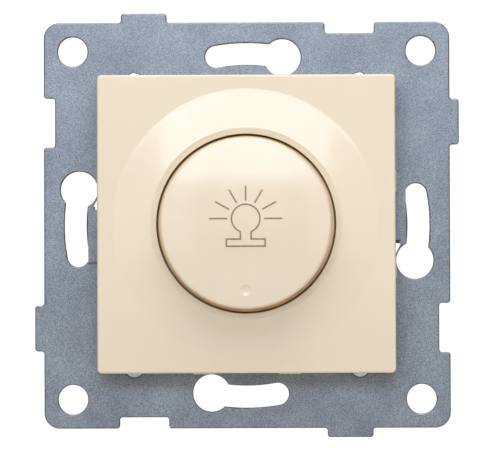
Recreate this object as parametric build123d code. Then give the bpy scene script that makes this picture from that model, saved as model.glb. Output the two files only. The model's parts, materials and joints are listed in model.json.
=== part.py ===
from build123d import *
import math
import os

# Flush-mount rotary dimmer insert for a 60 mm wall box.
# Every shape is drawn in a face frame: x to the right, y up, z out of the wall, z = 0 on the back
# of the mounting plate. FACE_TO_ROW turns it to the row frame, where the front faces -Y and up is +Z.
FACE_TO_ROW = Rot(90, 0, 0)

# --- driving dimensions, in millimetres and degrees ---
PLATE = 71.0
PLATE_T = 1.0
PLATE_CORNER_R = 2.7
SHEARED_EDGE_R = 0.22
TAB_W = 8.0
TAB_OUT = 1.6
NOTCH_W = 8.6
NOTCH_IN = 1.95
SIDE_FEATURE_AT = 18.0
CORNER_HOLE_PITCH = 60.9
CORNER_HOLE_R = 2.6
BOX_SCREW_R = 30.0
KEY_SLOT_R = 1.925
KEY_ENTRY_R = 3.25
KEY_ENTRY_DEG = 12.0
KEY_SLOT_DEG = 10.2
POT_OPENING_R = 13.2

RIVET_X = 19.7
RIVET_Y = 24.95
RIVET_HEAD_R = 1.62
CARRIER_SCREW_X = 13.5
CARRIER_SCREW_Y = 17.5
CARRIER_TOP = 2.4

COVER = 51.8
COVER_WALL = 1.8
COVER_BACK = 1.15
COVER_FACE = 9.0
DOME_FOOT_R = 23.5
DOME_EDGE_R = 22.7
DOME_BALL_R = 146.6
WELL_R = 15.6
WELL_LIP = 1.05
WELL_LIP_DROP = 0.08
WELL_WALL = 1.3
WELL_FLOOR_TOP = 4.0

KNOB_R = 14.84
KNOB_FRONT = 15.0
KNOB_BACK = 6.2
KNOB_INNER_R = 13.0
KNOB_SKIN = 1.8
KNOB_FLANGE_R = 15.25
KNOB_FLANGE_TOP = 8.6
KNOB_CROWN = 0.9
CROWN_R = 14.35
DIMPLE_AT = 11.6
DIMPLE_BALL_R = 3.4
DIMPLE_DEPTH = 0.15
FLUTES = 16
FLUTE_CUT_R = 2.2
FLUTE_DEPTH = 0.35

SHAFT_R = 3.0
BUSH_R = 5.0
BUSH_TOP = 6.9
POT_R = 12.0
POT_BACK = -6.8

BOX_R = 28.5
BOX_HALF_W = 24.2
BOX_HALF_H = 25.8
BOX_WALL = 1.6
BOX_BACK = -26.5
BOARD_TOP = -13.0
BOARD_T = 1.6

CLAW_HINGE_X = 26.6
CLAW_SCREW_X = 21.2
CLAW_SCREW_Y = 1.5
CLAW_SHEET = 0.8
M3_R = 1.45
M3_NUT_R = 1.5

TERMINAL_X = (-8.2, 0.0, 8.2)
TERMINAL_SCREW_Z = -19.8
WIRE_ENTRY_Y = -16.1
WIRE_ENTRY_R = 1.7

POT_PIN_X = (-2.5, 0.0, 2.5)
TRIAC_LEAD_Y = (16.2, 18.7, 21.2)
RESISTOR_AT = ((15.6, -4.5), (19.2, -4.5), (17.4, 2.6))


# --- small helpers ---
def block(x0, x1, y0, y1, z0, z1):
    return Pos((x0 + x1) / 2, (y0 + y1) / 2, (z0 + z1) / 2) * Box(x1 - x0, y1 - y0, z1 - z0)


def rod(r, z0, z1, x=0.0, y=0.0):
    return Pos(x, y, (z0 + z1) / 2) * Cylinder(r, z1 - z0)


def tube(r_out, r_in, z0, z1, x=0.0, y=0.0):
    return rod(r_out, z0, z1, x, y) - rod(r_in, z0 - 1, z1 + 1, x, y)


def rod_y(r, y0, y1, x, z):
    return Pos(x, (y0 + y1) / 2, z) * Rot(90, 0, 0) * Cylinder(r, y1 - y0)


def rod_x(r, x0, x1, y, z):
    return Pos((x0 + x1) / 2, y, z) * Rot(0, 90, 0) * Cylinder(r, x1 - x0)


def prism(points, z0, z1):
    return Pos(0, 0, z0) * extrude(Polygon(*points, align=None), z1 - z0, dir=(0, 0, 1))


def dome(r, height, z, x=0.0, y=0.0):
    """A spherical cap that stands on the level z."""
    ball_r = (r * r + height * height) / (2 * height)
    cap = Sphere(ball_r) & block(-r, r, -r, r, ball_r - height, ball_r + 1)
    return Pos(x, y, z + height - ball_r) * cap


def ring_sector(r_out, r_in, z0, z1, middle_deg, half_deg):
    """Part of a ring, half_deg to each side of the direction middle_deg."""
    reach = 2 * r_out
    corners = [(0, 0)]
    steps = 8
    for i in range(steps + 1):
        a = math.radians(middle_deg - half_deg + 2 * half_deg * i / steps)
        corners.append((reach * math.cos(a), reach * math.sin(a)))
    return tube(r_out, r_in, z0, z1) & prism(corners, z0, z1)


def both_sides(solid):
    """The piece and its copy, half a turn round the knob's axis."""
    return [solid, Rot(0, 0, 180) * solid]


# --- mounting frame ---
def plate_outline():
    outline = RectangleRounded(PLATE, PLATE, PLATE_CORNER_R)
    half = PLATE / 2
    for quarter in range(4):
        tab = Pos(-SIDE_FEATURE_AT, half + TAB_OUT - 2.5) * Rectangle(TAB_W, 5)
        notch = Pos(SIDE_FEATURE_AT, half - NOTCH_IN + 2.5) * Rectangle(NOTCH_W, 5)
        outline += Rot(0, 0, 90 * quarter) * tab
        outline -= Rot(0, 0, 90 * quarter) * notch
    sharp = []
    for v in outline.vertices():
        if min(abs(v.X), abs(v.Y)) < half - 2 * PLATE_CORNER_R:
            sharp.append(v)
    return fillet(sharp, 0.5)


def key_slot(axis_deg):
    """Entry hole and curved slot for one wall-box screw, on the box's screw circle."""
    a = math.radians(axis_deg - KEY_ENTRY_DEG)
    entry = Pos(BOX_SCREW_R * math.cos(a), BOX_SCREW_R * math.sin(a)) * Circle(KEY_ENTRY_R)
    sweep_deg = KEY_ENTRY_DEG + KEY_SLOT_DEG
    path = CenterArc((0, 0), BOX_SCREW_R, axis_deg - KEY_ENTRY_DEG, sweep_deg)
    return entry + SlotArc(path, 2 * KEY_SLOT_R)


def claw_bay():
    """Opening that the right-hand claw reaches through."""
    corners = [
        (10, 7.0), (25.8, 7.0), (25.8, 6.5), (CLAW_HINGE_X, 6.5), (CLAW_HINGE_X, -3.3), (26.9, -3.3),
        (26.2, -4.65), (25.9, -5.4), (24.5, -5.4), (22.5, -3.3), (10, -3.3),
    ]
    return prism(corners, -1, PLATE_T + 1)


def mounting_plate():
    holes = plate_outline()
    at = CORNER_HOLE_PITCH / 2
    for x in (-at, at):
        for y in (-at, at):
            holes -= Pos(x, y) * Circle(CORNER_HOLE_R)
    for quarter in range(4):
        holes -= key_slot(90 * quarter)
    plate = extrude(holes, PLATE_T)
    front = plate.faces().sort_by(Axis.Z)[-1]
    plate = fillet(front.edges(), SHEARED_EDGE_R)
    plate -= rod(POT_OPENING_R, -1, PLATE_T + 1)
    for bay in both_sides(claw_bay()):
        plate -= bay
    for x in (-CARRIER_SCREW_X, CARRIER_SCREW_X):
        for y in (-CARRIER_SCREW_Y, CARRIER_SCREW_Y):
            plate -= rod(1.8, -1, PLATE_T + 1, x, y)
    for x in (-RIVET_X, RIVET_X):
        for y in (-RIVET_Y, RIVET_Y):
            plate -= rod(1.1, -1, PLATE_T + 1, x, y)
            plate -= Pos(x, y, 0.3) * Cone(2.0, 1.1, 0.6)
    return [plate]


def frame_rivets():
    """Four rivets, dome heads on the carrier's lugs, closed flush in the plate's back."""
    rivets = []
    lug_top = PLATE_T + 0.8
    for x in (-RIVET_X, RIVET_X):
        for y in (-RIVET_Y, RIVET_Y):
            rivet = rod(1.1, 0, lug_top + 0.1, x, y)
            rivet += Pos(x, y, 0.3) * Cone(2.0, 1.1, 0.6)
            rivet += rod(RIVET_HEAD_R, lug_top, lug_top + 0.2, x, y)
            rivet += dome(RIVET_HEAD_R, 0.6, lug_top + 0.2, x, y)
            rivets.append(rivet)
    return rivets


def carrier():
    body = extrude(RectangleRounded(47.6, 47.6, 1.0), CARRIER_TOP - PLATE_T)
    body = Pos(0, 0, PLATE_T) * body
    for x in (-RIVET_X, RIVET_X):
        for y in (-RIVET_Y, RIVET_Y):
            body -= rod(2.0, PLATE_T + 0.8, CARRIER_TOP + 1, x, y)
            body += rod(1.78, PLATE_T, PLATE_T + 0.8, x, y)
            body -= rod(1.1, 0, CARRIER_TOP, x, y)
    for cut in both_sides(block(17.6, 30, -4.0, 7.4, 0, 5)):
        body -= cut
    for x in (-CARRIER_SCREW_X, CARRIER_SCREW_X):
        for y in (-CARRIER_SCREW_Y, CARRIER_SCREW_Y):
            body -= rod(1.8, 0, 5, x, y)
    body -= rod(BUSH_R + 0.1, 0, 5)
    return [body]


def carrier_screws():
    screws = []
    for x in (-CARRIER_SCREW_X, CARRIER_SCREW_X):
        for y in (-CARRIER_SCREW_Y, CARRIER_SCREW_Y):
            screw = rod(1.2, -8.5, CARRIER_TOP + 0.1, x, y)
            screw += rod(2.6, CARRIER_TOP, CARRIER_TOP + 0.6, x, y)
            screw += dome(2.6, 1.1, CARRIER_TOP + 0.6, x, y)
            screw -= block(x - 0.35, x + 0.35, y - 1.7, y + 1.7, 3.3, 5)
            screw -= block(x - 1.7, x + 1.7, y - 0.35, y + 0.35, 3.3, 5)
            screws.append(screw)
    return screws


def box_section(inset, z0, z1):
    round_part = rod(BOX_R - inset, z0, z1)
    half_w = BOX_HALF_W - inset
    half_h = BOX_HALF_H - inset
    return round_part & block(-half_w, half_w, -half_h, half_h, z0, z1)


def claw_nut_block():
    """Solid part of the housing's side that holds the right-hand claw's nut."""
    y = CLAW_SCREW_Y
    return block(17.6, BOX_HALF_W - 0.8, y - 4.4, y + 4.4, -10.2, -3.4)


def rear_housing():
    body = box_section(0, BOX_BACK, 0)
    body = fillet(body.faces().sort_by(Axis.Z)[0].edges(), 1.0)
    body -= box_section(BOX_WALL, BOX_BACK + 1.5, 1)
    for x in (-CARRIER_SCREW_X, CARRIER_SCREW_X):
        for y in (-CARRIER_SCREW_Y, CARRIER_SCREW_Y):
            post = rod(2.8, BOARD_TOP, 0, x, y)
            turn = math.degrees(math.atan2(y, x))
            post += Rot(0, 0, turn) * block(22.1, BOX_R - 0.8, -0.8, 0.8, BOARD_TOP, 0)
            body += post - rod(1.2, -9, 1, x, y)
    for nut_block in both_sides(claw_nut_block()):
        body += nut_block
    front_cut = block(17.4, BOX_HALF_W + 1, -4.2, 7.4, -3.4, 1)
    x, y = CLAW_SCREW_X, CLAW_SCREW_Y
    screw_hole = rod(1.8, -11, 0, x, y)
    nut_pocket = block(17, x + 2.8, y - 2.8, y + 2.8, -7.2, -5.2)
    for cut in (front_cut, screw_hole, nut_pocket):
        for side in both_sides(cut):
            body -= side
    for x in (-12.3, -4.1, 4.1, 12.3):
        inner = BOX_HALF_H - BOX_WALL + 0.4
        body += block(x - 0.5, x + 0.5, -inner, -12.7, BOX_BACK + 1, BOARD_TOP - BOARD_T)
    for x in TERMINAL_X:
        body -= rod_y(2.0, -BOX_HALF_H - 1, -BOX_HALF_H + 2.5, x, TERMINAL_SCREW_Z)
        body -= rod(WIRE_ENTRY_R, BOX_BACK - 1, BOX_BACK + 2, x, WIRE_ENTRY_Y)
    for i in range(7):
        body -= block(-6.5, 6.5, 3.2 * i - 3.6, 3.2 * i - 2.0, BOX_BACK - 1, BOX_BACK + 0.5)
    return [body]


# --- centre plate ---
def rising_arc(foot, top_r, low, top):
    """Profile arc that climbs inwards from foot to the radius top_r, its slope going from low to top."""
    def at(slope):
        share = (math.sin(slope) - math.sin(low)) / (math.sin(top) - math.sin(low))
        inwards = (foot[0] - top_r) * share
        return foot[0] - inwards, foot[1] + inwards * math.tan((low + slope) / 2)

    return ThreePointArc(foot, at((low + top) / 2), at(top)), at(top)


def dome_ring():
    """Raised collar round the knob: a narrow lip, a shallow ball-shaped dome and a soft foot on the face."""
    root = COVER_FACE - 1.4
    lip_r = WELL_R + WELL_LIP
    edge_slope = math.asin(DOME_EDGE_R / DOME_BALL_R)
    lip_slope = math.asin(lip_r / DOME_BALL_R)
    foot, edge = rising_arc((DOME_FOOT_R, COVER_FACE), DOME_EDGE_R, math.radians(1.5), edge_slope)
    slope, crest = rising_arc(edge, lip_r, edge_slope, lip_slope)
    under = Polyline((WELL_R, root), (DOME_FOOT_R, root), (DOME_FOOT_R, COVER_FACE))
    lip = Polyline(crest, (WELL_R, crest[1] - WELL_LIP_DROP), (WELL_R, root))
    return revolve(Plane.XZ * make_face(under + foot + slope + lip), Axis.Z)


def centre_plate():
    height = COVER_FACE - COVER_BACK
    shell = Pos(0, 0, COVER_BACK) * extrude(RectangleRounded(COVER, COVER, 0.8), height)
    shell = fillet(shell.faces().sort_by(Axis.Z)[-1].edges(), 0.4)
    inner = COVER - 2 * COVER_WALL
    cavity = extrude(RectangleRounded(inner, inner, 0.6), 7.2)
    shell -= cavity
    shell -= rod(WELL_R + 0.5, 0, 20)
    shell += dome_ring()
    outer = WELL_R + WELL_WALL
    shell += tube(outer, WELL_R, CARRIER_TOP, 8.0)
    shell += tube(outer, BUSH_R + 0.3, CARRIER_TOP, WELL_FLOOR_TOP)
    half = COVER / 2
    for quarter in range(4):
        for x in (-7.5, 7.5):
            lug = block(x - 1.85, x + 1.85, half - 0.5, half + 0.17, COVER_BACK, 5.0)
            shell += Rot(0, 0, 90 * quarter) * lug
    for cut in both_sides(block(half - 2.5, half + 1, -4.0, 7.4, 0, 2.7)):
        shell -= cut
    for x in (-RIVET_X, RIVET_X):
        for y in (-RIVET_Y, RIVET_Y):
            shell -= rod(2.1, 0, 3.2, x, y)
    return [shell]


def lock_washer():
    washer = tube(7.6, BUSH_R + 0.1, WELL_FLOOR_TOP, WELL_FLOOR_TOP + 0.4)
    for i in range(12):
        gap = block(6.9, 8.5, -0.35, 0.35, 3, 5)
        washer -= Rot(0, 0, 30 * i) * gap
    return [washer]


def fixing_nut():
    nut = extrude(RegularPolygon(14 / 2, 6, major_radius=False), 2.1)
    nut = Pos(0, 0, WELL_FLOOR_TOP + 0.4) * nut
    rounding = Pos(0, 0, WELL_FLOOR_TOP + 1.45) * Cone(9.6, 7.5, 2.1)
    return [(nut & rounding) - rod(BUSH_R, 0, 10)]


# --- potentiometer ---
def pot_case():
    case = rod(POT_R, POT_BACK, 0.95)
    case -= rod(POT_R - 0.7, POT_BACK - 1, 0)
    case -= rod(BUSH_R, -1, 2)
    case -= block(-6.2, 6.2, -POT_R - 1, -POT_R + 3, -3.2, -0.6)
    stop = ring_sector(POT_R - 0.6, 10.2, -5.4, -3.4, 270, 14)
    return [case + stop]


def pot_back():
    return [rod(POT_R - 0.75, POT_BACK, POT_BACK + 0.7) - rod(3.6, -8, -5)]


def pot_bush():
    bush = rod(BUSH_R, -0.05, BUSH_TOP)
    bush = chamfer(bush.edges().sort_by(Axis.Z)[-1], 0.5)
    bush += rod(6.5, -0.6, -0.05)
    for i in range(5):
        groove = tube(BUSH_R + 1, BUSH_R - 0.3, 2.7 + 0.75 * i, 3.0 + 0.75 * i)
        bush -= groove
    return [bush - rod(SHAFT_R + 0.05, -2, 10)]


def track_wafer():
    wafer = tube(11.2, 5.6, -2.1, -1.1)
    return [wafer + block(-6.0, 6.0, -12.9, -9.5, -2.1, -1.1)]


def resistive_track():
    return [ring_sector(10.1, 8.3, -2.2, -2.1, 90, 152)]


def pot_pins():
    pins = []
    for x in POT_PIN_X:
        pin = block(x - 0.6, x + 0.6, -13.5, -11.5, -1.1, -0.7)
        pin += block(x - 0.6, x + 0.6, -13.5, -13.1, -15.4, -0.7)
        pins.append(pin)
    return pins


def keyed_bore(clearance):
    """Section of the shaft's flatted end, for the rotor's bore or for the shaft itself."""
    r = SHAFT_R + clearance
    flat = 2.3 + clearance
    return rod(r, -12, 12) & block(-r, r, -flat, flat, -12, 12)


def pot_rotor():
    rotor = rod(9.8, -4.4, -3.4)
    rotor += rod(4.4, -5.9, -2.7)
    rotor += ring_sector(11.0, 9.0, -4.4, -3.4, 90, 18)
    return [rotor - keyed_bore(0.05)]


def wiper():
    arm = ring_sector(9.7, 5.4, -3.4, -3.1, 90, 9)
    arm += ring_sector(9.7, 8.7, -3.2, -2.26, 90, 5)
    return [arm]


# --- push switch ---
def switch_case():
    case = block(-7.5, 7.5, -7.5, 7.5, BOARD_TOP, -7.4)
    case -= rod(4.9, -12.2, -7.9)
    case -= rod(2.2, -9, -6)
    for x in (-3.7, 3.7):
        case -= block(x - 0.45, x + 0.45, -0.9, 0.9, BOARD_TOP - 1, -12)
    return [case]


def switch_contacts():
    contacts = []
    for x in (-3.7, 3.7):
        post = block(x - 0.4, x + 0.4, -0.8, 0.8, -15.6, -11.4)
        contacts.append(post + rod(0.7, -11.4, -11.16, x))
    return contacts


def plunger():
    body = rod(1.9, -8.5, -6.0)
    body += rod(2.6, -9.4, -8.4)
    return [body + rod(0.9, -10.7, -9.3)]


def bridge_contact():
    return [tube(4.4, 0.9, -9.9, -9.4)]


def return_spring():
    """Compression spring between the bridge contact and the switch case's floor."""
    wire_r = 0.14
    low, high = -12.2 + wire_r, -9.9 - wire_r
    turns = 4
    path = Helix(pitch=(high - low) / turns, height=high - low, radius=1.8)
    path = Pos(0, 0, low) * path
    section = Plane(path @ 0, z_dir=path % 0) * Circle(wire_r)
    return [sweep(section, path)]


# --- shaft and knob ---
def control_shaft():
    shaft = rod(SHAFT_R, -0.6, 12.4)
    shaft += keyed_bore(0.0) & rod(4, -6.0, -0.5)
    shaft -= tube(4, 2.2, -1.25, -0.7)
    shaft = chamfer(shaft.edges().filter_by(GeomType.CIRCLE).sort_by(Axis.Z)[-1], 0.3)
    for i in range(18):
        groove = Pos(SHAFT_R, 0, 10.5) * Rot(0, 0, 45) * Box(0.36, 0.36, 4.2)
        shaft -= Rot(0, 0, 20 * i) * groove
    return [shaft]


def shaft_clip():
    ring = tube(4.4, 2.25, -1.2, -0.75)
    return [ring - block(-1.6, 1.6, -5, 0, -2, 0)]


def crown_ball():
    """Radius of the ball that the knob's domed face is part of."""
    return (CROWN_R ** 2 + KNOB_CROWN ** 2) / (2 * KNOB_CROWN)


def crown_z(r):
    """Level of the knob's domed face at a distance from its axis."""
    ball = crown_ball()
    return KNOB_FRONT - ball + math.sqrt(ball ** 2 - r ** 2)


def knob():
    """Cup with a plain front rim, grip flutes behind it and a splined hub inside."""
    crown_edge = crown_z(CROWN_R)
    crown = ThreePointArc((0, KNOB_FRONT), (7.2, crown_z(7.2)), (CROWN_R, crown_edge))
    rim = ThreePointArc((CROWN_R, crown_edge), (KNOB_R - 0.14, 13.94), (KNOB_R, 13.5))
    side = Polyline((KNOB_R, 13.5), (KNOB_R, KNOB_BACK), (0, KNOB_BACK), (0, KNOB_FRONT))
    body = revolve(Plane.XZ * make_face(crown + rim + side), Axis.Z)
    cutter = rod(FLUTE_CUT_R, KNOB_BACK - 1, 12.9)
    at = KNOB_R + FLUTE_CUT_R - FLUTE_DEPTH
    for i in range(FLUTES):
        body -= Rot(0, 0, 360 * i / FLUTES) * Pos(at, 0, 0) * cutter
    body += rod(KNOB_FLANGE_R, KNOB_BACK, KNOB_FLANGE_TOP)
    inside = KNOB_FRONT - KNOB_SKIN
    body -= rod(KNOB_INNER_R, KNOB_BACK - 1, inside)
    body += rod(4.6, 8.4, inside + 0.1)
    for i in range(6):
        rib = block(4.0, KNOB_INNER_R + 0.3, -0.4, 0.4, 11.0, inside + 0.1)
        body += Rot(0, 0, 30 + 60 * i) * rib
    body -= rod(SHAFT_R + 0.02, 8, 12.5)
    tilt = math.asin(DIMPLE_AT / crown_ball())
    above = DIMPLE_BALL_R - DIMPLE_DEPTH
    y = DIMPLE_AT + above * math.sin(tilt)
    z = crown_z(DIMPLE_AT) + above * math.cos(tilt)
    body -= Pos(0, -y, z) * Sphere(DIMPLE_BALL_R)
    return [body]


def knob_clip():
    ring = tube(5.0, 4.6, 8.7, 10.7)
    return [ring - block(-1.0, 1.0, -6, 0, 8, 11)]


# --- claws ---
def claw():
    """Right-hand claw: saddle on the plate's front, tongue under the screw, leg with two teeth."""
    low = PLATE_T + 0.15
    top = low + CLAW_SHEET
    body = block(26.5, 27.75, -3.5, 6.5, low, top)
    body -= block(26.0, 26.8, -3.6, -2.7, 0, 3)
    body -= block(26.0, 26.8, 6.4, 6.6, 0, 3)
    body += block(18.6, 26.7, -2.7, 6.4, low, top)
    x, y = CLAW_SCREW_X, CLAW_SCREW_Y
    body -= block(x - 1.0, x + 1.0, y - 1.9, y + 1.9, 0, 3)
    body -= rod(1.9, 0, 3, x - 0.8, y)
    body -= rod(1.9, 0, 3, x + 0.8, y)
    leg_out = CLAW_HINGE_X - 1.0
    leg_in = leg_out - CLAW_SHEET
    body += block(leg_in, leg_out, -2.7, 6.4, -17.0, top)
    foot = [
        (leg_in, -16.5), (leg_out, -16.5), (leg_out, -18.0), (27.9, -19.6),
        (28.0, -21.0), (27.2, -20.6), (leg_in, -18.8),
    ]
    tooth = extrude(Plane.XZ * Polygon(*foot, align=None), 3.3, dir=(0, -1, 0))
    body += Pos(0, 0.6, 0) * tooth
    body += Pos(0, 6.4, 0) * tooth
    body -= block(leg_in - 1, leg_out + 1, 0.9, 2.8, -18, -12.5)
    return body


def claw_washer():
    low = PLATE_T + 0.15 + CLAW_SHEET + 0.05
    return tube(2.6, M3_NUT_R, low, low + 0.5, CLAW_SCREW_X, CLAW_SCREW_Y)


def claw_screw():
    x, y = CLAW_SCREW_X, CLAW_SCREW_Y
    seat = PLATE_T + 0.15 + CLAW_SHEET + 0.55
    screw = rod(M3_R, -8.0, seat + 0.1, x, y)
    screw += rod(2.4, seat, seat + 1.0, x, y)
    screw += dome(2.4, 0.8, seat + 1.0, x, y)
    slot = block(x - 3, x + 3, y - 0.35, y + 0.35, seat + 0.8, seat + 3)
    return screw - slot


def claw_nuts():
    x, y = CLAW_SCREW_X, CLAW_SCREW_Y
    nut = block(x - 2.75, x + 2.75, y - 2.75, y + 2.75, -7.15, -5.25)
    return both_sides(nut - rod(M3_NUT_R, -9, -4, x, y))


# --- terminals ---
def busbars():
    bars = []
    for x in TERMINAL_X:
        bar = block(x - 1.7, x + 1.7, -18.6, -17.8, -23.4, BOARD_TOP - BOARD_T)
        bars.append(bar)
    return bars


def terminal_cage(x):
    z = TERMINAL_SCREW_Z
    cage = block(x - 3.0, x + 3.0, -20.8, -13.2, z - 3.0, z + 3.0)
    cage -= block(x - 2.2, x + 2.2, -19.6, -14.4, z - 4, z + 4)
    return cage - rod_y(M3_NUT_R, -22, -19, x, z)


def terminal_screw(x):
    z = TERMINAL_SCREW_Z
    screw = rod_y(M3_R, -23.0, -18.65, x, z)
    screw += rod_y(2.4, -24.15, -22.9, x, z)
    return screw - block(x - 3, x + 3, -25, -23.5, z - 0.35, z + 0.35)


# --- circuit board and what stands on it ---
def circuit_board():
    top = BOARD_TOP
    board = box_section(BOX_WALL + 0.4, top - BOARD_T, top)
    for x in POT_PIN_X:
        board -= block(x - 0.7, x + 0.7, -13.6, -13.0, top - 3, top + 1)
    for x in (-3.7, 3.7):
        board -= block(x - 0.45, x + 0.45, -0.9, 0.9, top - 3, top + 1)
    for y in TRIAC_LEAD_Y:
        board -= block(-10.9, -10.1, y - 0.45, y + 0.45, top - 3, top + 1)
    return [board]


def heat_sink():
    sink = block(-9.6, 9.6, 13.9, 23.6, -1.5, 0)
    return [sink - rod(M3_NUT_R - 0.1, -2, 1, 4.4, 18.7)]


def insulating_pad():
    return [block(-8.6, 8.2, 13.9, 23.6, -1.7, -1.5) - rod(1.6, -2, -1, 4.4, 18.7)]


def triac_tab():
    return [block(-6.5, 7.6, 13.9, 23.5, -3.0, -1.7) - rod(1.8, -4, -1, 4.4, 18.7)]


def triac_body():
    body = block(-8.0, 1.0, 13.8, 23.6, -6.2, -1.7)
    return [body - block(-6.5, 8, 13.9, 23.5, -3.0, -1)]


def triac_leads():
    leads = []
    for y in TRIAC_LEAD_Y:
        lead = block(-10.8, -8.0, y - 0.35, y + 0.35, -4.6, -4.0)
        leads.append(lead + block(-10.8, -10.2, y - 0.35, y + 0.35, -15.6, -4.0))
    return leads


def triac_screw():
    screw = rod(M3_NUT_R - 0.1, -3.2, 0, 4.4, 18.7)
    return [screw + rod(2.6, -4.6, -3.0, 4.4, 18.7)]


def choke_core():
    return [Pos(-9.0, 6.0, 0) * tube(8.6, 4.8, -23.2, -16.4)]


def choke_winding():
    """Turns of the choke, joined by the wire's steps round the outside."""
    turns = 22
    coil = ring_sector(9.2, 8.7, -20.2, -19.4, 0, 155)
    for i in range(turns):
        loop = block(3.9, 9.4, -0.4, 0.4, -23.9, -15.7)
        loop -= block(4.7, 8.7, -1, 1, -23.3, -16.3)
        coil += Rot(0, 0, -150 + 300 * i / (turns - 1)) * loop
    return [Pos(-9.0, 6.0, 0) * coil]


def suppression_capacitor():
    case = block(2.5, 19.5, 10.2, 16.4, -24.4, -15.0)
    return [fillet(case.edges().filter_by(Axis.Z), 0.8)]


def timing_capacitors():
    cases = []
    for y in (0.2, 5.2):
        case = block(5.0, 12.2, y - 1.3, y + 1.3, -21.0, -15.0)
        cases.append(fillet(case.edges().filter_by(Axis.Z), 0.5))
    return cases


def resistors():
    return [rod_y(1.15, y0, y0 + 6.4, x, -16.4) for x, y0 in RESISTOR_AT]


def diac():
    return [rod_y(0.95, -4.5, -0.5, 1.9, -16.3)]


def component_leads():
    """Wire ends that carry the capacitors, resistors, diac and choke on the board."""
    board_back = BOARD_TOP - BOARD_T
    leads = []
    for x, y in ((5.0, 13.3), (17.0, 13.3), (6.3, 0.2), (10.9, 0.2), (6.3, 5.2), (10.9, 5.2)):
        leads.append(rod(0.35, -15.0, board_back, x, y))
    axial = [(x, y0, 6.4, -16.4) for x, y0 in RESISTOR_AT]
    axial.append((1.9, -4.5, 4.0, -16.3))
    for x, y0, length, z in axial:
        for y, away in ((y0, -1), (y0 + length, 1)):
            ends = sorted((y, y + 1.0 * away))
            lead = rod_y(0.3, ends[0], ends[1], x, z)
            lead += rod(0.3, z, board_back, x, y + 0.7 * away)
            leads.append(lead)
    return leads


def fuse_glass():
    return [rod_x(2.45, -9.8, 9.8, -8.9, -18.4) - rod_x(1.9, -11, 11, -8.9, -18.4)]


def fuse_caps():
    caps = []
    for x0, x1 in ((-10.2, -5.2), (5.2, 10.2)):
        cap = rod_x(2.65, x0, x1, -8.9, -18.4) - rod_x(2.45, -9.8, 9.8, -8.9, -18.4)
        caps.append(cap)
    return caps


def fuse_clips():
    clips = []
    for x in (-7.7, 7.7):
        clip = rod_x(3.15, x - 1.8, x + 1.8, -8.9, -18.4)
        clip += block(x - 1.8, x + 1.8, -10.4, -7.4, -18.4, BOARD_TOP - BOARD_T)
        clip -= rod_x(2.65, -12, 12, -8.9, -18.4)
        clip -= block(x - 2, x + 2, -10.6, -7.2, -22, -19.6)
        clips.append(clip)
    return clips


# --- one STEP file for each node ---
def all_nodes():
    right_claw, left_claw = both_sides(claw())
    right_washer, left_washer = both_sides(claw_washer())
    right_screw, left_screw = both_sides(claw_screw())
    makers = (
        mounting_plate, frame_rivets, carrier, carrier_screws, rear_housing, centre_plate,
        lock_washer, fixing_nut, pot_case, pot_back, pot_bush, track_wafer, resistive_track,
        pot_pins, pot_rotor, wiper, switch_case, switch_contacts, plunger, bridge_contact,
        return_spring, control_shaft, shaft_clip, knob, knob_clip, claw_nuts, busbars,
        circuit_board, heat_sink, insulating_pad, triac_tab, triac_body, triac_leads,
        triac_screw, choke_core, choke_winding, suppression_capacitor, timing_capacitors,
        resistors, diac, component_leads, fuse_glass, fuse_caps, fuse_clips,
    )
    nodes = {make.__name__: make() for make in makers}
    nodes["claw_right"] = [right_claw]
    nodes["claw_left"] = [left_claw]
    nodes["claw_washer_right"] = [right_washer]
    nodes["claw_washer_left"] = [left_washer]
    nodes["claw_screw_right"] = [right_screw]
    nodes["claw_screw_left"] = [left_screw]
    for number, x in enumerate(TERMINAL_X, start=1):
        nodes[f"terminal_cage_{number}"] = [terminal_cage(x)]
        nodes[f"terminal_screw_{number}"] = [terminal_screw(x)]
    return nodes


os.makedirs("parts", exist_ok=True)
for name, solids in all_nodes().items():
    placed = [FACE_TO_ROW * solid for item in solids for solid in item.solids()]
    shape = placed[0] if len(placed) == 1 else Compound(children=placed)
    export_step(shape, f"parts/{name}.step")
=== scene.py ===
import json
import math

import bpy
from mathutils import Matrix, Vector


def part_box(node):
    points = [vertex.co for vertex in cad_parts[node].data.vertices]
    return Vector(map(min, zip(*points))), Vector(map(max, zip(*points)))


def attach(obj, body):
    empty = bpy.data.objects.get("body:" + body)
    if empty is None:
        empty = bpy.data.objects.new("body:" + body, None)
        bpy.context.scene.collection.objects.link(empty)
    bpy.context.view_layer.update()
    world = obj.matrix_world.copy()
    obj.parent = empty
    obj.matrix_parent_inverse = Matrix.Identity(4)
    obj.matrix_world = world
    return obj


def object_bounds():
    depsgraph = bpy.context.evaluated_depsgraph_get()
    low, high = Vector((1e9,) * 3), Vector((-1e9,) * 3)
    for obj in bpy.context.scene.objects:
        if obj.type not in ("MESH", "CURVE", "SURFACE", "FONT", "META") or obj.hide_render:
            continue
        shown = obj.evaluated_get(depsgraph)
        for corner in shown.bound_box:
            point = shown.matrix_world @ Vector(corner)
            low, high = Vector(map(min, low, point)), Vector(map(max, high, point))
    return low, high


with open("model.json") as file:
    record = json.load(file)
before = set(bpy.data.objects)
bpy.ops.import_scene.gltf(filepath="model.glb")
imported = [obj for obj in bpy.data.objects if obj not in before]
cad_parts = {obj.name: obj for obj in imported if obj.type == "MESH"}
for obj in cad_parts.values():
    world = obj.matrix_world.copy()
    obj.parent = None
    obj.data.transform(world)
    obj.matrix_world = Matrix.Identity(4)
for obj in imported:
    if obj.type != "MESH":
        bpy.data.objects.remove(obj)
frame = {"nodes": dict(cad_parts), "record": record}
CAD_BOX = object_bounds()

MM = 0.001

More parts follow.
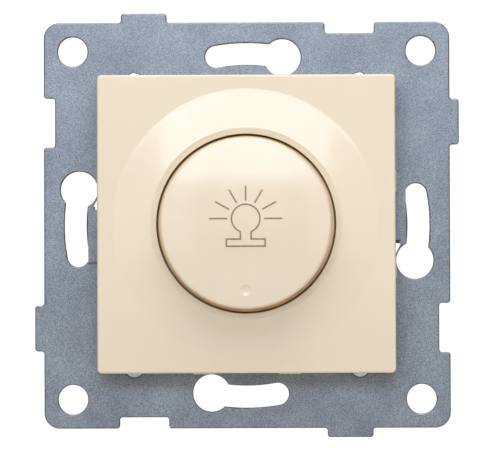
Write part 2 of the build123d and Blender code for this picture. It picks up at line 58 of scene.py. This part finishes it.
# --- shapes that the looks share with the CAD, in millimetres ---
KNOB_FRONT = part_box("knob")[0].y / MM
KNOB_CROWN = 0.9
KNOB_CROWN_R = 14.35
CROWN_BALL_R = (KNOB_CROWN_R ** 2 + KNOB_CROWN ** 2) / (2 * KNOB_CROWN)
CROWN_BALL_Y = KNOB_FRONT + CROWN_BALL_R

# --- where the ivory changes, as the two places between which it fades, in metres ---
# the first two bound the painted shade deep in the gap round the knob
GAP_SHADE_RADII = (15.72 * MM, 15.90 * MM)
GAP_SHADE_DEPTHS = (-9.8 * MM, -9.5 * MM)
POLE_RADII = (2.04 * MM, 2.06 * MM)
POLE_DEPTHS = (-14.97 * MM, -14.90 * MM)


# --- small helpers ---
def linear(r, g, b):
    """sRGB 0-255 to a linear colour with alpha."""
    out = []
    for v in (r, g, b):
        v /= 255
        out.append(v / 12.92 if v <= 0.04045 else ((v + 0.055) / 1.055) ** 2.4)
    return (*out, 1.0)


def tint(colour, factor):
    """The colour made darker or lighter by a factor."""
    return (*(min(1.0, c * factor) for c in colour[:3]), 1.0)


def add(name, data):
    """A new object in the scene that shows the data."""
    made = bpy.data.objects.new(name, data)
    bpy.context.scene.collection.objects.link(made)
    return made


def mesh_object(name, verts, faces, material):
    mesh = bpy.data.meshes.new(name)
    mesh.from_pydata(verts, [], faces)
    mesh.validate()
    mesh.materials.append(material)
    return add(name, mesh)


def seen_from(azimuth, elevation):
    """Unit vector from the object towards a place at these angles, in degrees."""
    a, e = math.radians(azimuth), math.radians(elevation)
    return Vector((math.sin(a) * math.cos(e), -math.cos(a) * math.cos(e), math.sin(e)))


# --- materials ---
class Shader:
    """A principled material and short ways to add procedural detail to it."""

    def __init__(self, name, **constants):
        self.material = bpy.data.materials.new(name)
        self.material.use_nodes = True
        self.tree = self.material.node_tree
        self.bsdf = self.tree.nodes["Principled BSDF"]
        self.coords = self.node("ShaderNodeTexCoord").outputs["Object"]
        for socket, value in constants.items():
            self.bsdf.inputs[socket.replace("_", " ")].default_value = value

    def node(self, kind, **inputs):
        made = self.tree.nodes.new(kind)
        for socket, value in inputs.items():
            made.inputs[socket.replace("_", " ")].default_value = value
        return made

    def link(self, a, b):
        self.tree.links.new(a, b)

    def feed(self, value, socket):
        """Link an output to the socket, or set a plain value on it."""
        if isinstance(value, bpy.types.NodeSocket):
            self.link(value, socket)
        else:
            socket.default_value = value

    def maths(self, operation, *values, kind="ShaderNodeMath"):
        made = self.tree.nodes.new(kind)
        made.operation = operation
        for value, socket in zip(values, made.inputs):
            self.feed(value, socket)
        return made.outputs

    def vector_maths(self, operation, *values):
        return self.maths(operation, *values, kind="ShaderNodeVectorMath")

    def stretched(self, sx, sy, sz):
        mapping = self.node("ShaderNodeMapping", Scale=(sx, sy, sz))
        self.link(self.coords, mapping.inputs["Vector"])
        return mapping.outputs["Vector"]

    def noise(self, scale, detail=3.0, roughness=0.5, vector=None):
        made = self.node("ShaderNodeTexNoise", Scale=scale, Detail=detail, Roughness=roughness)
        self.link(vector or self.coords, made.inputs["Vector"])
        return made.outputs["Fac"]

    def cells(self, scale):
        made = self.node("ShaderNodeTexVoronoi", Scale=scale)
        self.link(self.coords, made.inputs["Vector"])
        return made.outputs

    def ramp(self, fac, *stops):
        made = self.node("ShaderNodeValToRGB")
        elements = made.color_ramp.elements
        while len(elements) < len(stops):
            elements.new(0.5)
        for element, (place, colour) in zip(elements, stops):
            element.position = place
            element.color = colour
        self.link(fac, made.inputs["Fac"])
        return made.outputs["Color"]

    def shades(self, fac, dark, light):
        """Dark to light over the middle of a noise's range."""
        return self.ramp(fac, (0.3, dark), (0.7, light))

    def remap(self, fac, low, high, from_low=0.3, from_high=0.7):
        made = self.node("ShaderNodeMapRange", From_Min=from_low, From_Max=from_high, To_Min=low, To_Max=high)
        self.link(fac, made.inputs["Value"])
        return made.outputs["Result"]

    def mix(self, fac, a, b, blend="MIX"):
        made = self.tree.nodes.new("ShaderNodeMix")
        made.data_type = "RGBA"
        made.blend_type = blend
        for value, socket in ((fac, 0), (a, 6), (b, 7)):
            self.feed(value, made.inputs[socket])
        return made.outputs[2]

    def mix_vectors(self, fac, a, b):
        made = self.tree.nodes.new("ShaderNodeMix")
        made.data_type = "VECTOR"
        for value, socket in ((fac, 0), (a, 4), (b, 5)):
            self.feed(value, made.inputs[socket])
        return made.outputs[1]

    def colour(self, output):
        self.link(output, self.bsdf.inputs["Base Color"])

    def roughness(self, output):
        self.link(output, self.bsdf.inputs["Roughness"])

    def normal(self, output):
        self.link(output, self.bsdf.inputs["Normal"])

    def bump(self, height, strength, distance):
        """Add a bump on top of whatever shapes the normal already."""
        made = self.node("ShaderNodeBump", Strength=strength, Distance=distance)
        previous = self.bsdf.inputs["Normal"].links
        if previous:
            self.link(previous[0].from_socket, made.inputs["Normal"])
        self.link(height, made.inputs["Height"])
        self.normal(made.outputs["Normal"])


def plastic(name, base, rough, grain=900.0, grain_depth=0.00002, mottle=0.04):
    """Moulded plastic: faint flow mottling, uneven sheen and a fine moulded texture."""
    s = Shader(name, IOR=1.5)
    s.colour(s.shades(s.noise(60.0, 4.0, 0.6), tint(base, 1 - mottle), tint(base, 1 + mottle)))
    s.roughness(s.remap(s.noise(420.0, 3.0), rough - 0.04, rough + 0.05))
    s.bump(s.noise(grain, 2.0), 0.25, grain_depth)
    return s.material


def ivory():
    """Glossy ivory thermoplastic: even, with faint orange peel, and with painted shade (a warmer brown) deep
    in the gap round the knob.
    """
    base = (0.83, 0.69, 0.515, 1.0)
    # painted shade: a warm brown that stands in for the shade and bounced light deep in the gap round the
    # knob
    painted_gap_shade = (0.97, 0.70, 0.38, 1.0)
    s = Shader("ivory_gloss", IOR=1.56)
    colour = s.shades(s.noise(45.0, 3.0, 0.5), tint(base, 0.985), tint(base, 1.01))
    colour = s.mix(s.remap(s.cells(2600.0)["Distance"], 0.05, 0.0, 0.0, 0.25), colour, tint(base, 0.8))
    radius = s.vector_maths("LENGTH", s.stretched(1.0, 0.0, 1.0))["Value"]
    place = s.node("ShaderNodeSeparateXYZ")
    s.link(s.coords, place.inputs["Vector"])
    depth = place.outputs["Y"]
    # mask for the painted gap shade: just inside the well's wall and below its edge
    gap = s.maths("MULTIPLY", s.remap(radius, 1.0, 0.0, *GAP_SHADE_RADII), s.remap(depth, 0.0, 1.0, *GAP_SHADE_DEPTHS))
    s.colour(s.mix(gap["Value"], colour, painted_gap_shade))

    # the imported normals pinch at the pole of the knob's crown, so its ball's own are used there
    pole = s.maths("MULTIPLY", s.remap(radius, 1.0, 0.0, *POLE_RADII), s.remap(depth, 1.0, 0.0, *POLE_DEPTHS))
    outward = s.vector_maths("SUBTRACT", s.coords, (0.0, CROWN_BALL_Y * MM, 0.0))["Vector"]
    turned = s.node("ShaderNodeVectorTransform")
    turned.vector_type, turned.convert_from, turned.convert_to = "NORMAL", "OBJECT", "WORLD"
    s.link(outward, turned.inputs["Vector"])
    on_ball = s.vector_maths("NORMALIZE", turned.outputs["Vector"])["Vector"]
    s.normal(s.mix_vectors(pole["Value"], s.node("ShaderNodeNewGeometry").outputs["Normal"], on_ball))

    s.roughness(s.remap(s.noise(300.0, 4.0), 0.10, 0.17))
    s.bump(s.noise(260.0, 2.0), 0.12, 0.00003)
    s.bump(s.noise(3000.0, 2.0), 0.10, 0.000004)
    return s.material


def sheet_steel(name, dark, light):
    """Galvanised sheet: fine crystalline speckle with dark pits, over broad cloudy patches."""
    white = (1.0, 1.0, 1.0, 1.0)
    s = Shader(name, Metallic=1.0)
    grain = s.noise(5200.0, 2.0, 0.6)
    speckle = s.ramp(grain, (0.36, dark), (0.64, light))
    crystals = s.node("ShaderNodeSeparateColor")
    s.link(s.cells(2600.0)["Color"], crystals.inputs["Color"])
    facets = s.ramp(crystals.outputs["Red"], (0.0, (0.9, 0.91, 0.92, 1)), (1.0, white))
    colour = s.mix(1.0, speckle, facets, "MULTIPLY")
    pits = s.remap(s.noise(3900.0, 1.0, 0.5), 0.0, 0.5, 0.68, 0.76)
    colour = s.mix(pits, colour, tint(dark, 0.5))
    patches = s.noise(110.0, 4.0, 0.6)
    cloud = s.ramp(patches, (0.34, (0.80, 0.79, 0.83, 1)), (0.66, white))
    s.colour(s.mix(1.0, colour, cloud, "MULTIPLY"))
    s.roughness(s.remap(grain, 0.36, 0.5))
    s.bump(grain, 0.3, 0.00001)
    s.bump(patches, 0.2, 0.00005)
    return s.material


def turned_metal(name, dark, light, rough=0.3):
    """Plated or drawn metal: fine directional drawing lines and worn, uneven plating."""
    s = Shader(name, Metallic=1.0)
    lines = s.noise(900.0, 3.0, 0.6, s.stretched(1.0, 0.12, 1.0))
    worn = s.noise(260.0, 4.0, 0.65)
    s.colour(s.mix(0.5, s.shades(lines, dark, light), s.shades(worn, dark, light)))
    s.roughness(s.remap(worn, rough - 0.08, rough + 0.12))
    s.bump(lines, 0.25, 0.00001)
    return s.material


def laminate(name, base, weave):
    """Board laminate with a woven or paper-like texture."""
    s = Shader(name, IOR=1.5)
    dark, light = tint(base, 0.8), tint(base, 1.15)
    along = s.noise(weave, 2.0, 0.5, s.stretched(1.0, 1.0, 0.1))
    across = s.noise(weave, 2.0, 0.5, s.stretched(0.1, 1.0, 1.0))
    s.colour(s.mix(0.5, s.shades(along, dark, light), s.shades(across, dark, light)))
    s.roughness(s.remap(along, 0.4, 0.6))
    s.bump(across, 0.2, 0.00001)
    return s.material


def clear_glass(name, base):
    """Clear glass, very slightly uneven."""
    s = Shader(name, Roughness=0.03, IOR=1.5, Transmission_Weight=0.9)
    s.colour(s.shades(s.noise(200.0), tint(base, 0.96), base))
    s.bump(s.noise(500.0), 0.05, 0.00001)
    return s.material


def printed_line():
    """Laser-marked line: brownish grey, matt and slightly uneven."""
    s = Shader("mark_print", IOR=1.45)
    s.colour(s.shades(s.noise(2500.0, 3.0), linear(130, 111, 89), linear(160, 140, 114)))
    s.roughness(s.remap(s.noise(1500.0), 0.5, 0.7))
    s.bump(s.noise(4000.0), 0.3, 0.000004)
    return s.material


def floor_paper():
    s = Shader("floor_paper", Roughness=0.8)
    s.colour(s.shades(s.noise(40.0, 4.0), (0.80, 0.76, 0.70, 1), (0.84, 0.80, 0.74, 1)))
    s.bump(s.noise(600.0), 0.1, 0.00005)
    return s.material


MATERIALS = {
    "galvanised": sheet_steel("galvanised", linear(113, 119, 125), linear(165, 169, 174)),
    "zinc_steel": turned_metal("zinc_steel", linear(176, 180, 184), linear(214, 217, 219)),
    "zinc_yellow": turned_metal("zinc_yellow", linear(170, 160, 128), linear(206, 196, 160)),
    "spring_steel": turned_metal("spring_steel", linear(140, 142, 145), linear(178, 180, 183)),
    "ivory_plastic": ivory(),
    "dark_plastic": plastic("dark_plastic", linear(46, 46, 48), 0.55),
    "housing_plastic": plastic("housing_plastic", linear(206, 203, 194), 0.5, mottle=0.03),
    "white_plastic": plastic("white_plastic", linear(208, 206, 199), 0.5, mottle=0.02),
    "brass": turned_metal("brass", linear(176, 142, 78), linear(214, 182, 112)),
    "aluminium": turned_metal("aluminium", linear(160, 163, 166), linear(192, 195, 197), 0.5),
    "copper_lead": turned_metal("copper_lead", linear(180, 176, 168), linear(208, 205, 198)),
    "enamelled_copper": turned_metal("enamelled_copper", linear(150, 78, 40), linear(190, 104, 58), 0.22),
    "ferrite": plastic("ferrite", linear(52, 50, 50), 0.6, 1600.0, 0.00005),
    "board": laminate("board", linear(176, 150, 96), 900.0),
    "phenolic": laminate("phenolic", linear(140, 94, 56), 600.0),
    "mica": laminate("mica", linear(196, 188, 170), 500.0),
    "carbon": plastic("carbon", linear(34, 34, 34), 0.5),
    "capacitor_film": plastic("capacitor_film", linear(206, 168, 60), 0.35),
    "component_black": plastic("component_black", linear(38, 38, 38), 0.5),
    "resistor_body": plastic("resistor_body", linear(196, 168, 128), 0.4),
    "glass": clear_glass("glass", (0.9, 0.94, 0.94, 1.0)),
}

slot_of = {row["node"]: row["material_slot"] for row in frame["record"]["subparts"]}
for name, node in frame["nodes"].items():
    node.data.materials.clear()
    node.data.materials.append(MATERIALS[slot_of[name]])


# --- lamp pictogram, printed on the knob; in millimetres ---
ICON_CENTRE_Z = 0.7
STROKE = 0.27
PRINT_PROUD, PRINT_SUNK = 0.015, 0.06
BULB_R = 2.45
NECK_HALF = 0.93
BASE_HALF = 3.34
BASE_TOP, BASE_LOW = ICON_CENTRE_Z - 3.54, ICON_CENTRE_Z - 4.76
RAYS = ((0, 3.15, 6.3), (29, 3.25, 6.0), (60, 3.1, 5.75), (90, 3.1, 5.65),
        (120, 3.1, 5.75), (151, 3.25, 6.0), (180, 3.15, 6.3))  # degrees, inner and outer radius


def crown_y(x, z):
    """The y of the knob's domed face at a point."""
    return CROWN_BALL_Y - math.sqrt(CROWN_BALL_R ** 2 - x * x - z * z)


def stroke(points):
    """A thin bar along the points, lying on the knob's face. Returns vertices, in metres, and faces."""
    verts, faces = [], []
    last = len(points) - 1
    for i, (x, z) in enumerate(points):
        before, after = points[max(i - 1, 0)], points[min(i + 1, last)]
        dx, dz = after[0] - before[0], after[1] - before[1]
        size = math.hypot(dx, dz)
        nx, nz = -dz / size * STROKE / 2, dx / size * STROKE / 2
        for px, pz in ((x + nx, z + nz), (x - nx, z - nz)):
            y = crown_y(px, pz)
            verts.append((px * MM, (y - PRINT_PROUD) * MM, pz * MM))
            verts.append((px * MM, (y + PRINT_SUNK) * MM, pz * MM))
    for i in range(last):
        a, b = 4 * i, 4 * (i + 1)
        faces += [(a, b, b + 2, a + 2), (a + 1, a + 3, b + 3, b + 1),
                  (a, a + 1, b + 1, b), (a + 2, b + 2, b + 3, a + 3)]
    end = 4 * last
    faces += [(0, 2, 3, 1), (end, end + 1, end + 3, end + 2)]
    return verts, faces


def line(x0, z0, x1, z1, steps=8):
    return [(x0 + (x1 - x0) * i / steps, z0 + (z1 - z0) * i / steps) for i in range(steps + 1)]


def bulb(steps=72):
    """The bulb's round, open where its neck joins."""
    half_open = math.asin(NECK_HALF / BULB_R)
    points = []
    for i in range(steps + 1):
        a = -math.pi / 2 + half_open + (2 * math.pi - 2 * half_open) * i / steps
        points.append((BULB_R * math.cos(a), ICON_CENTRE_Z + BULB_R * math.sin(a)))
    return points


def pictogram():
    corner = STROKE / 2
    neck_top = ICON_CENTRE_Z - math.sqrt(BULB_R ** 2 - NECK_HALF ** 2) + 0.06
    lines = [bulb()]
    for side in (-1, 1):
        lines.append(line(side * NECK_HALF, neck_top, side * NECK_HALF, BASE_TOP, 4))
        lines.append(line(side * (NECK_HALF - corner), BASE_TOP, side * (BASE_HALF + corner), BASE_TOP))
        lines.append(line(side * BASE_HALF, BASE_TOP, side * BASE_HALF, BASE_LOW, 4))
    lines.append(line(-BASE_HALF - corner, BASE_LOW, BASE_HALF + corner, BASE_LOW, 16))
    for degrees, inner, outer in RAYS:
        c, s = math.cos(math.radians(degrees)), math.sin(math.radians(degrees))
        lines.append(line(inner * c, ICON_CENTRE_Z + inner * s, outer * c, ICON_CENTRE_Z + outer * s))
    verts, faces = [], []
    for points in lines:
        v, f = stroke(points)
        faces += [tuple(len(verts) + k for k in face) for face in f]
        verts += v
    return mesh_object("lamp_pictogram", verts, faces, printed_line())


icon = pictogram()
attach(icon, "knob")

# --- studio; lengths in metres, angles in degrees ---
FLOOR_HALF = 0.9
FLOOR_DROP = 0.024
WARM = (1.0, 0.98, 0.94)
COOL = (0.92, 0.96, 1.02)
BLUE = (0.72, 0.84, 1.0)
SOFTBOXES = (  # name, azimuth, elevation, distance, width and height as the object sees them, power, colour
    ("top_box", -1, 18, 0.55, 27, 16, 0.70, BLUE),
    ("overhead_box", 0, 60, 0.40, 50, 40, 1.5, COOL),
    ("left_box", -23, 8, 0.83, 25, 34, 0.88, WARM),
    ("right_box", 23, 7, 0.83, 25, 32, 0.66, WARM),
    ("front_fill", 0, 4, 1.0, 14, 8, 0.10, WARM),
    ("rear_box", 150, 35, 0.8, 35, 35, 2.0, WARM),
)


def floor_sheet():
    r, low = FLOOR_HALF, CAD_BOX[0].z - FLOOR_DROP
    return mesh_object("floor", [(-r, -r, low), (r, -r, low), (r, r, low), (-r, r, low)], [(0, 1, 2, 3)],
                       floor_paper())


def softbox(name, azimuth, elevation, distance, wide, high, power, colour):
    """Rectangular light that faces the object."""
    toward = seen_from(azimuth, elevation)
    light = bpy.data.lights.new(name, "AREA")
    light.shape = "RECTANGLE"
    light.size = 2 * distance * math.tan(math.radians(wide / 2))
    light.size_y = 2 * distance * math.tan(math.radians(high / 2))
    light.energy = power
    light.color = colour
    made = add(name, light)
    made.location = toward * distance
    made.rotation_euler = (-toward).to_track_quat("-Z", "Y").to_euler()


def studio_world():
    """A faint even fill on the object, behind which the camera sees white paper."""
    world = bpy.data.worlds.new("studio")
    bpy.context.scene.world = world
    world.use_nodes = True
    tree = world.node_tree
    tree.nodes.clear()

    def background(colour, strength):
        made = tree.nodes.new("ShaderNodeBackground")
        made.inputs["Color"].default_value = colour
        made.inputs["Strength"].default_value = strength
        return made.outputs["Background"]

    pick = tree.nodes.new("ShaderNodeMixShader")
    seen = tree.nodes.new("ShaderNodeLightPath").outputs["Is Camera Ray"]
    tree.links.new(seen, pick.inputs["Fac"])
    tree.links.new(background((1.0, 0.99, 0.98, 1), 0.03), pick.inputs[1])
    tree.links.new(background((1, 1, 1, 1), 1.05), pick.inputs[2])
    tree.links.new(pick.outputs["Shader"], tree.nodes.new("ShaderNodeOutputWorld").inputs["Surface"])


floor_sheet()
for box in SOFTBOXES:
    softbox(*box)
studio_world()

# --- camera: nearly square on, from a touch below the knob's axis ---
DISTANCE = 0.85
ACROSS = 0.08745
AZIMUTH, ELEVATION, ROLL = 0.85, -1.78, -0.18
AIM = Vector((0.00053, -0.001, 0.00001))

camera_data = bpy.data.cameras.new("camera")
camera_data.sensor_width = 36.0
camera_data.lens = camera_data.sensor_width * DISTANCE / ACROSS
camera_data.clip_start = 0.01
camera_data.clip_end = 20.0
camera = add("camera", camera_data)
back = seen_from(AZIMUTH, ELEVATION)
turn = (-back).to_track_quat("-Z", "Y").to_matrix().to_4x4()
rolled = turn @ Matrix.Rotation(math.radians(ROLL), 4, "Z")
camera.matrix_world = Matrix.Translation(AIM + back * DISTANCE) @ rolled
bpy.context.scene.camera = camera

bpy.context.scene.view_settings.view_transform = "Standard"
bpy.context.scene.view_settings.look = "None"
